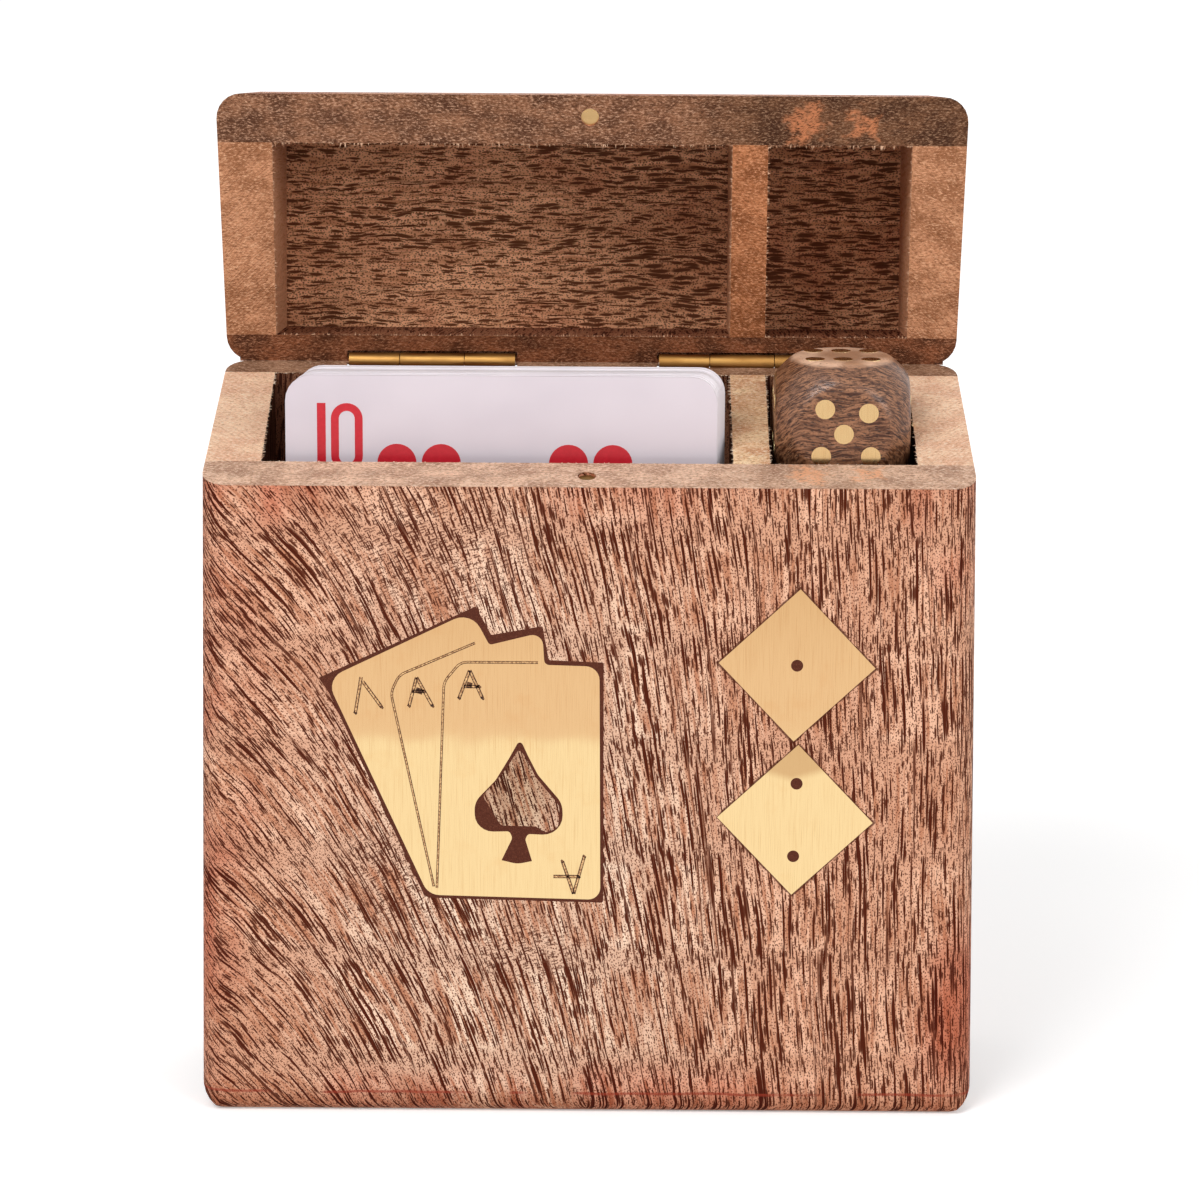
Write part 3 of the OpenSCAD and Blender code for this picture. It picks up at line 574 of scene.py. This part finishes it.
def fibre_wood(name, pale, dark):
    finish = Finish(name)
    patches = finish.noise(finish.place(), (0.5, 0.5, 0.5))
    shade = finish.mix(finish.ease(patches, 0.4, 0.65), pale, dark)
    return finish.skin(shade, patches, 0.01, 0.8, Specular_IOR_Level=0.1)


FIBRES = (
    ("box_body", -1, tone(255, 232, 206), tone(206, 160, 130)),
    # The lid's fibres have darker tones than the body's: painted shade.
    ("lid", 1, tone(222, 180, 148), tone(166, 118, 88)),
)
for body, up, pale, dark in FIBRES:
    wood = fibre_wood(f"{body}_fibre_wood", pale, dark)
    fibres = new_piece(f"{body}_fibres", *torn_fibres(up, saw_rng), wood, body)

# BRASS INLAYS
# Sheet brass let flush into the front board: a fan of three cards with a spade cut out of the
# nearest, and two dice on their corners. Brushed upright after the board was sanded.
# Where the painted shade lies on the lower die plate.
PAINTED_SHADE_X, PAINTED_SHADE_LOW, PAINTED_SHADE_TOP = 27.0, 45.9, 52.2


def brushed_brass(name, colour, roughness=0.035):
    """Sheet brass with upright brush marks. The top corner of the lower die plate is darker: painted shade."""
    finish = Finish(name)
    place = finish.place()
    brush = finish.noise(place, (0.09, 2.0, 6.0), detail=3.0, roughness=0.6)
    wave = finish.noise(place, (9, 9, 12), detail=1.0)
    tarnish = finish.noise(place, (4, 4, 4), detail=4.0, roughness=0.6)
    shade = finish.mix(finish.ease(brush, 0.45, 0.75, 0.0, 0.6), colour, tone(232, 190, 132))
    shade = finish.mix(finish.ease(tarnish, 0.52, 0.78, 0.0, 0.35), shade, tone(246, 200, 138))
    x, y, z = finish.apart(place)
    # Painted shade: a darker patch in the top corner of the lower die plate.
    aside = finish.math("ABSOLUTE", finish.math("SUBTRACT", x, PAINTED_SHADE_X))
    level = finish.math("MULTIPLY_ADD", aside, -0.3, z)
    dull = finish.math("MULTIPLY", finish.ease(level, PAINTED_SHADE_LOW, PAINTED_SHADE_LOW + 1.5), finish.ease(z, PAINTED_SHADE_TOP, 51.8))
    dull = finish.math("MULTIPLY", dull, finish.ease(x, PAINTED_SHADE_X - 9.0, PAINTED_SHADE_X - 8.0, 0.0, 0.75))
    shade = finish.mix(dull, shade, tone(214, 168, 116))
    rough = finish.ease(brush, 0.25, 0.8, roughness - 0.01, roughness + 0.04)
    height = finish.math("MULTIPLY_ADD", brush, 0.006, wave)
    return finish.skin(shade, height, 0.03, rough, Metallic=1.0)


inlay_brass = brushed_brass("inlay_brass", tone(255, 222, 164))
for name in ("fan_inlay", "die_inlay_upper", "die_inlay_lower"):
    dress(name, inlay_brass)

# FILLER ROUND THE INLAYS
# Dark brown lac and wood dust, pressed into the gap between brass and wood, in the spade's stem
# and in the dice spots, then sanded flush.


def lac(name, colour, speck):
    finish = Finish(name)
    place = finish.place()
    grit = finish.noise(place, (0.2, 0.2, 0.2), detail=3.0, roughness=0.7)
    shade = finish.mix(finish.ease(grit, 0.45, 0.75, 0.0, 0.6), colour, speck)
    return finish.skin(shade, grit, 0.03, 0.7, Specular_IOR_Level=0.15)


dress("inlay_filler", lac("lac_filler", tone(84, 40, 26), tone(120, 68, 48)))

# ENGRAVED LINES ON THE FAN
# The edges of the two cards behind, and a letter A in each card's corner, scratched into the brass
# with a graver and darkened by lac dust.
CARD_LINES = (
    ((-14.9, 65.0), (-24.9, 60.6), (-26.0, 58.2), (-20.4, 31.6)),
    ((-6.6, 62.4), (-16.8, 62.4), (-19.0, 59.7), (-20.0, 31.4)),
)
LETTER_STROKES = (
    ((-29.9, 60.3), (-30.7, 55.4)),
    ((-29.7, 59.7), (-27.2, 56.2)),
    ((-22.6, 60.3), (-23.6, 56.4)),
    ((-22.6, 60.3), (-20.5, 56.4)),
    ((-23.2, 58.4), (-21.6, 58.4)),
    ((-15.6, 61.3), (-17.0, 57.5)),
    ((-15.6, 61.3), (-13.9, 57.5)),
    ((-16.4, 59.1), (-14.3, 59.1)),
    ((-1.8, 30.7), (-3.3, 35.2)),
    ((-1.8, 30.7), (-0.4, 35.9)),
    ((-4.5, 33.1), (-1.1, 33.1)),
)
ENGRAVED_PROUD = 0.015


def ribbon(line, width, y, bank=()):
    """A flat ribbon along a line of (x, z) points: each point is moved square to the mean of its
    neighbours' directions, to the shares of the width in bank. It faces -Y."""
    bank = np.asarray(bank or (0.5, -0.5))
    line = np.asarray(line, float)
    run = np.gradient(line, axis=0)
    run /= np.linalg.norm(run, axis=1)[:, None]
    side = np.stack([-run[:, 1], run[:, 0]], 1) * width
    flat = (line[:, None] + side[:, None] * bank[None, :, None]).reshape(-1, 2)
    index = np.arange(len(flat)).reshape(len(line), len(bank))
    faces = np.stack([index[:-1, :-1], index[1:, :-1], index[1:, 1:], index[:-1, 1:]], -1).reshape(-1, 4)
    return np.stack([flat[:, 0], np.full(len(flat), y), flat[:, 1]], 1), faces


def gathered(parts):
    """Several (points, faces) as one."""
    shift = np.cumsum([0] + [len(p) for p, f in parts[:-1]])
    faces = [tuple(np.asarray(face) + s) for (p, f), s in zip(parts, shift) for face in f]
    return np.concatenate([p for p, f in parts]), faces


def eased_line(corners, reach=0.9, steps=5):
    """The line through corners, with each inner corner swapped for a quadratic curve."""
    corners = np.asarray(corners, float)
    points = [corners[0]]
    for before, at, after in zip(corners[:-2], corners[1:-1], corners[2:]):
        one = at + (before - at) * reach / np.linalg.norm(before - at)
        two = at + (after - at) * reach / np.linalg.norm(after - at)
        t = np.linspace(0, 1, steps)[:, None]
        points.extend((1 - t) ** 2 * one + 2 * t * (1 - t) * at + t**2 * two)
    points.append(corners[-1])
    return np.array(points)


def graver(name, shine, dust):
    """The floor of a scratch, with lac dust caught in it here and there."""
    finish = Finish(name)
    chatter = finish.noise(finish.place(), (0.3, 0.3, 0.3), detail=2.0)
    shade = finish.mix(finish.ease(chatter, 0.4, 0.62), dust, shine)
    return finish.skin(shade, chatter, 0.02, 0.5, Metallic=0.3)


LINE_WIDE, LETTER_WIDE = 0.34, 0.46
SMUDGES = (((-22.7, 58.6), (-21.8, 58.3)), ((-16.0, 59.4), (-15.3, 59.2)))
tracks = [(eased_line(line), LINE_WIDE) for line in CARD_LINES]
tracks += [(np.linspace(*np.array(stroke), 3), LETTER_WIDE) for stroke in LETTER_STROKES]
floors = [ribbon(line, wide, FRONT_Y - ENGRAVED_PROUD) for line, wide in tracks]
burr_y = FRONT_Y - 2 * ENGRAVED_PROUD
edges = [ribbon(line, wide, burr_y, side) for line, wide in tracks for side in ((0.5, 0.22), (-0.26, -0.5))]
edges += [ribbon(smudge, 0.75, burr_y) for smudge in SMUDGES]
edges += [ribbon((line[-1] - 0.1, line[-1] + 0.1), 0.5, burr_y) for line, wide in tracks[2:]]
floor_brass = graver("graver_floor", tone(240, 196, 138), tone(170, 122, 80))
burr_brass = graver("graver_edge", tone(120, 78, 46), tone(56, 28, 14))
engraving = new_piece("fan_engraving", *gathered(floors), floor_brass, "box_body")
burr = new_piece("fan_engraving_edges", *gathered(edges), burr_brass, "box_body")

# HINGES, THEIR NAILS AND THE MAGNETS
# Two small butt hinges of rolled sheet brass, let into the back and nailed with brass pins, and a
# round magnet sunk in each front rim, its cap plated in brass.


def aged_brass(name, light, dark, roughness=0.36):
    finish = Finish(name)
    place = finish.place()
    scratch = finish.noise(place, (3.0, 0.12, 0.12), detail=3.0, roughness=0.6)
    patina = finish.noise(place, (5.0, 1.8, 2.6), detail=3.0, roughness=0.5)
    shade = finish.mix(finish.ease(patina, 0.35, 0.75, 0.1, 0.75), light, dark)
    shade = finish.mix(finish.ease(scratch, 0.55, 0.8, 0.0, 0.4), shade, light)
    rough = finish.ease(patina, 0.3, 0.75, roughness - 0.08, roughness + 0.16)
    return finish.skin(shade, scratch, 0.008, rough, Metallic=1.0)


hinge_brass = aged_brass("hinge_brass", tone(196, 148, 84), tone(140, 98, 50))
for side in ("left", "right"):
    for part in ("body_leaf", "lid_leaf", "pin"):
        dress(f"hinge_{side}_{part}", hinge_brass)
nail_brass = aged_brass("nail_brass", tone(216, 174, 108), tone(164, 122, 70), 0.3)
dress("body_hinge_nails", nail_brass)
dress("lid_hinge_nails", nail_brass)
dress("body_magnet", aged_brass("worn_cap", tone(168, 136, 82), tone(92, 68, 36), 0.45))
dress("lid_magnet", aged_brass("magnet_cap", tone(236, 204, 146), tone(168, 136, 88), 0.3))

# THE PACK OF CARDS
# Coated paper cards, 57 by 89 mm with round corners, standing loose in the wide bay and leaning a
# little to one side. The nearest is the ten of hearts: red print on a cool white face.
CARD_LOW, CARD_HIGH = (np.array(corner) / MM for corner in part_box("card_front"))
DECK_LOW, DECK_HIGH = (np.array(corner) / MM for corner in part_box("card_stack"))
CARD_WIDE = CARD_HIGH[0] - CARD_LOW[0]
CARD_ROUND = 3.4
CARD_COUNT = 24


def card_plate(centre_x, high, front, thickness):
    """A card standing upright: its outline is a rectangle with quarter circles at the corners, given
    a front and a back sheet and a wall between them."""
    low = DECK_LOW[2]
    turn = np.radians(np.concatenate([np.linspace(a, a + 90, 9) for a in (0, 90, 180, 270)]))
    sign = np.array([[1, 1], [-1, 1], [-1, -1], [1, -1]]).repeat(9, 0)
    reach = np.array([CARD_WIDE / 2 - CARD_ROUND, (high - low) / 2 - CARD_ROUND])
    edge = sign * reach + CARD_ROUND * np.stack([np.cos(turn), np.sin(turn)], 1)
    edge += [centre_x, (low + high) / 2]
    n = len(edge)
    near = np.stack([edge[:, 0], np.full(n, front), edge[:, 1]], 1)
    far = near + [0, thickness, 0]
    ring = np.arange(n)
    wall = np.stack([ring, ring + n, np.roll(ring, -1) + n, np.roll(ring, -1)], 1)
    return np.concatenate([near, far]), [tuple(ring), tuple(ring[::-1] + n), *map(tuple, wall)]


def card_paper(name, clean, worn):
    finish = Finish(name)
    place = finish.place()
    linen = finish.noise(place, (0.3, 0.3, 0.3), detail=2.0)
    handled = finish.noise(place, (18, 18, 14), detail=2.0)
    shade = finish.mix(finish.ease(handled, 0.35, 0.75), clean, worn)
    return finish.skin(shade, linen, 0.004, 0.32, Specular_IOR_Level=0.5, Coat_Weight=0.15)


paper = card_paper("card_paper", tone(224, 213, 220), tone(215, 204, 212))
# Painted light: the pack's paper is much lighter than the nearest card's, to lift its top edges out of the open
# lid's shade.
pack_paper_painted_light = card_paper("pack_paper_painted_light", tone(252, 246, 250), tone(238, 230, 236))
pack_rng = np.random.default_rng(7)
pitch = (DECK_HIGH[1] - DECK_LOW[1]) / CARD_COUNT
room = DECK_HIGH[0] - DECK_LOW[0] - CARD_WIDE
cards = []
for i in range(CARD_COUNT):
    centre = DECK_LOW[0] + CARD_WIDE / 2 + (i + 0.5) / CARD_COUNT * room
    top = DECK_HIGH[2] - pack_rng.uniform(0, 0.25)
    cards.append(card_plate(centre, top, DECK_LOW[1] + i * pitch, pitch * 0.86))
pack = new_piece("card_pack", *gathered(cards), pack_paper_painted_light, "card_deck")
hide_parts("card_stack")
dress("card_front", paper)

# PRINT ON THE NEAREST CARD
# Letterpress red: the index number in the corner, and hearts in two columns as a ten has them.
PRINT_Y = CARD_LOW[1] - 0.012
CARD_LEFT, CARD_TOP = CARD_LOW[0], CARD_HIGH[2]


def heart(centre_x, top, width):
    """A heart's outline: two half circles side by side, whose sides run down to a point along a
    cubic curve; a fan of triangles from its middle fills it."""
    r = width / 4
    lobe = np.radians(np.linspace(0, 180, 17))
    small = r * 0.94
    right = np.stack([2 * r - small + small * np.cos(lobe), r - small + small * np.sin(lobe)], 1)
    left = right - [4 * r - 2 * small, 0]
    t = np.linspace(0, 1, 14)[1:-1, None]
    p = np.array([[-2 * r, 0], [-2 * r, -1.2 * r], [-0.7 * r, -2.2 * r], [0, -3.2 * r]])
    flank = (1 - t) ** 3 * p[0] + 3 * t * (1 - t) ** 2 * p[1] + 3 * t**2 * (1 - t) * p[2] + t**3 * p[3]
    edge = np.concatenate([right, [[0, -0.7 * r]], left, flank, p[3:4], (flank * [-1, 1])[::-1]])
    points = np.concatenate([[[0, -1.3 * r]], edge]) + [centre_x, top - r]
    n = len(edge)
    ring = np.arange(n)
    faces = np.stack([np.zeros(n, int), np.roll(ring, -1) + 1, ring + 1], 1)
    return np.stack([points[:, 0], np.full(n + 1, PRINT_Y), points[:, 1]], 1), faces


def ring_band(centre_x, top, width, height, stroke):
    """An upright 0: a band of even width between two rounded outlines."""
    outlines = []
    for inset in (0, stroke):
        r = width / 2 - inset
        up = np.radians(np.linspace(0, 180, 17))
        arch = np.stack([r * np.cos(up), r * np.sin(up) + height / 2 - width / 2], 1)
        outlines.append(np.concatenate([arch, -arch]) + [centre_x, top - height / 2])
    n = len(outlines[0])
    flat = np.concatenate(outlines)
    ring = np.arange(n)
    faces = np.stack([ring, ring + n, np.roll(ring, -1) + n, np.roll(ring, -1)], 1)
    return np.stack([flat[:, 0], np.full(2 * n, PRINT_Y), flat[:, 1]], 1), faces


def print_ink(name):
    finish = Finish(name)
    mottle = finish.noise(finish.place(), (0.5, 0.5, 0.5), detail=3.0)
    shade = finish.mix(mottle, tone(214, 38, 54), tone(190, 24, 38))
    return finish.skin(shade, mottle, 0.003, 0.35, Specular_IOR_Level=0.5)


NUMBER_TOP, NUMBER_HIGH = CARD_TOP - 3.72, 9.2
ONE_X = CARD_LEFT + 4.76
printed = [ribbon([(ONE_X, NUMBER_TOP), (ONE_X, NUMBER_TOP - NUMBER_HIGH)], 1.15, PRINT_Y)]
printed.append(ring_band(CARD_LEFT + 8.12, NUMBER_TOP, 4.2, NUMBER_HIGH, 1.05))
for column in (-10.85, 11.85):
    for drop in (9.15, 27.5, 46.0, 64.5):
        printed.append(heart(CARD_LEFT + CARD_WIDE / 2 + column, CARD_TOP - drop, 11.05))
printed.append(heart(CARD_LEFT + 6.3, NUMBER_TOP - NUMBER_HIGH - 1.6, 5.4))
ten = new_piece("card_print", *gathered(printed), print_ink("red_ink"), "card_deck")

# THE DICE
# Five cubes of dark hardwood, tumbled so that every corner is part of a ball, stacked in the narrow
# bay. The spots are brass rod, glued in and sanded flush.
DIE_BALL = 11.0
DIE_INSET = 0.03
DIE_GRID = 33
DIE_SHARP = 80


def tumbled_cube(low, high):
    """A cube cut by a ball and softened: along each direction from the middle the reach is the
    smooth minimum of the cube's and the ball's, (a^-n + b^-n)^(-1/n). Six grids make its faces."""
    middle, half = (low + high) / 2, (high - low).mean() / 2 - DIE_INSET
    t = np.tan(np.linspace(-np.pi / 4, np.pi / 4, DIE_GRID))
    a, b = np.meshgrid(t, t, indexing="ij")
    one = np.ones_like(a)
    sides = ((one, a, b), (-one, b, a), (b, one, a), (a, -one, b), (a, b, one), (b, a, -one))
    grid = np.arange(DIE_GRID**2).reshape(DIE_GRID, DIE_GRID)
    quads = np.stack([grid[:-1, :-1], grid[1:, :-1], grid[1:, 1:], grid[:-1, 1:]], -1).reshape(-1, 4)
    way = np.concatenate([np.stack(side, -1).reshape(-1, 3) for side in sides])
    way = way / np.linalg.norm(way, axis=1)[:, None]
    cube = half / np.abs(way).max(1)
    reach = (cube**-DIE_SHARP + DIE_BALL**-DIE_SHARP) ** (-1 / DIE_SHARP)
    return middle + way * reach[:, None], np.concatenate([quads + k * DIE_GRID**2 for k in range(6)])


def die_wood(name, seed, middle_z):
    """Dark figured hardwood whose grain lies across the front; the top and the bottom are pale, partly a paler face
    with specks and partly painted light.
    """
    finish = Finish(name)
    place = finish.place()
    x, y, z = finish.apart(place)
    bow = finish.noise(place, (7, 7, 7))
    along = finish.math("ADD", x, seed * 31.0)
    across = finish.math("MULTIPLY_ADD", bow, 4.0, finish.math("ADD", z, y))
    grain = finish.node("CombineXYZ", {0: across, 1: along, 2: y}).outputs[0]
    rings = finish.noise(grain, (0.35, 3.2, 0.6), detail=4.0, roughness=0.65)
    pore = finish.pores(grain, (0.3, 1.1), 0.27)
    fine = finish.pores(grain, (0.2, 0.34), 0.34)
    shade = finish.mix(finish.ease(rings, 0.36, 0.62), tone(72, 37, 21), tone(164, 114, 82))
    shade = finish.tint(shade, fine, 0.45, tone(62, 33, 20))
    shade = finish.tint(shade, pore, 0.8, tone(46, 23, 14))
    # Partly painted light: the top and the bottom get a much paler tone, as a top lit from above looks, over
    # specked wood.
    away = finish.math("ABSOLUTE", finish.math("SUBTRACT", z, float(middle_z)))
    flat = finish.ease(away, 8.3, 8.95)
    specks = finish.pores(place, (0.5, 0.5, 2.0), 0.26)
    ends = finish.mix(finish.ease(bow, 0.4, 0.62), tone(248, 202, 170), tone(190, 142, 110))
    ends = finish.tint(ends, specks, 0.6, tone(120, 76, 52))
    shade = finish.mix(flat, shade, ends)
    height = finish.math("SUBTRACT", finish.math("MULTIPLY", rings, 0.5), pore)
    return finish.skin(shade, height, 0.05, 0.28, Specular_IOR_Level=0.5)


for number in range(1, 6):
    low, high = (np.array(corner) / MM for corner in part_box(f"die_{number}"))
    points, faces = tumbled_cube(low, high)
    wood = die_wood(f"die_wood_{number}", number, (low[2] + high[2]) / 2)
    die = new_piece(f"tumbled_die_{number}", points, faces, wood, "dice", smooth=True)
    die.modifiers.new("weld", "WELD").merge_threshold = 0.00001
    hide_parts(f"die_{number}")
dress("die_pips", brushed_brass("pip_brass", tone(255, 230, 172), 0.2))

# STUDIO
# A plain white table that keeps a soft shadow, white all round, and three broad soft lamps. The
# camera stands where the photograph was taken from.
FLOOR_HALF, FLOOR_DROP = 3.0, 0.00005
NEAR_FLOOR = 0.214


def studio_floor():
    """Paper that is lifted a little for the camera only. What polished things mirror of it is plain white,
    and faintly warm nearest the box and further off."""
    mesh = bpy.data.meshes.new("table")
    corners = [(x * FLOOR_HALF, y * FLOOR_HALF, -FLOOR_DROP) for x, y in ((-1, -1), (1, -1), (1, 1), (-1, 1))]
    mesh.from_pydata(corners, [], [(0, 1, 2, 3)])
    table = bpy.data.objects.new("table", mesh)
    bpy.context.scene.collection.objects.link(table)
    finish = Finish("table_paper")
    point = finish.node("TexCoord").outputs["Object"]
    x, y, z = finish.apart(point)
    far = finish.mix(finish.ease(y, -0.36, -0.24), tone(228, 209, 200), tone(240, 225, 222))
    near = finish.ease(y, -NEAR_FLOOR - 0.004, -NEAR_FLOOR + 0.004)
    seen = finish.mix(near, far, tone(255, 255, 255))
    rays = finish.node("LightPath").outputs
    paper = finish.node("BsdfDiffuse", {0: tone(250, 250, 250)}).outputs[0]
    mirror = finish.node("Emission", {0: seen, 1: 1.0}).outputs[0]
    lift = finish.node("Emission", {0: (1, 1, 1, 1), 1: 0.3}).outputs[0]
    bright = finish.node("AddShader", {0: paper, 1: lift}).outputs[0]
    lit = finish.node("MixShader", {0: rays["Is Camera Ray"], 1: paper, 2: bright}).outputs[0]
    lit = finish.node("MixShader", {0: rays["Is Glossy Ray"], 1: lit, 2: mirror}).outputs[0]
    finish.node("OutputMaterial", {0: lit})
    mesh.materials.append(finish.material)


def studio_world(strength):
    """White all round, dimmed to a strength for the light that it gives."""
    world = bpy.data.worlds.new("studio")
    world.use_nodes = True
    tree = world.node_tree
    tree.nodes.clear()
    rays = tree.nodes.new("ShaderNodeLightPath")
    plain = tree.nodes.new("ShaderNodeBackground")
    plain.inputs[1].default_value = strength
    white = tree.nodes.new("ShaderNodeBackground")
    white.inputs[0].default_value = (1, 1, 1, 1)
    seen = tree.nodes.new("ShaderNodeMath")
    seen.operation = "MAXIMUM"
    mixed = tree.nodes.new("ShaderNodeMixShader")
    output = tree.nodes.new("ShaderNodeOutputWorld")
    plain.inputs[0].default_value = (1, 1, 1, 1)
    links = (
        (rays.outputs["Is Camera Ray"], seen.inputs[0]),
        (rays.outputs["Is Glossy Ray"], seen.inputs[1]),
        (seen.outputs[0], mixed.inputs[0]),
        (plain.outputs[0], mixed.inputs[1]),
        (white.outputs[0], mixed.inputs[2]),
        (mixed.outputs[0], output.inputs[0]),
    )
    for start, end in links:
        tree.links.new(start, end)
    bpy.context.scene.world = world


def lamp(name, place, size, watts):
    """A square soft lamp that faces the middle of the box."""
    data = bpy.data.lights.new(name, "AREA")
    data.size = size
    data.energy = watts
    made = bpy.data.objects.new(name, data)
    bpy.context.scene.collection.objects.link(made)
    made.location = place
    made.rotation_euler = (Vector((0, 0, 0.07)) - Vector(place)).to_track_quat("-Z", "Y").to_euler()


studio_floor()
studio_world(0.45)
lamp("key", (-0.7, -1.0, 1.3), 0.9, 15)
lamp("fill", (1.1, -1.1, 0.8), 1.0, 8)
lamp("back", (0.2, 1.3, 1.2), 1.0, 6)

CAMERA_PLACE = Vector((4.33, -615.45, 211.2)) * MM
PITCH, YAW, ROLL = (math.radians(a) for a in (13.22, -0.27, 0.29))
forward = Vector((math.sin(YAW) * math.cos(PITCH), math.cos(YAW) * math.cos(PITCH), -math.sin(PITCH)))
level = Vector((math.cos(YAW), -math.sin(YAW), 0))
up = level.cross(forward)
right = math.cos(ROLL) * level + math.sin(ROLL) * up
above = math.cos(ROLL) * up - math.sin(ROLL) * level
camera = bpy.data.objects.new("camera", bpy.data.cameras.new("camera"))
camera.data.sensor_width = 36.0
camera.data.lens = 140.28
camera.data.clip_start = 0.01
camera.matrix_world = Matrix.Translation(CAMERA_PLACE) @ Matrix((right, above, -forward)).transposed().to_4x4()
bpy.context.scene.collection.objects.link(camera)
bpy.context.scene.camera = camera
bpy.context.scene.view_settings.view_transform = "Standard"
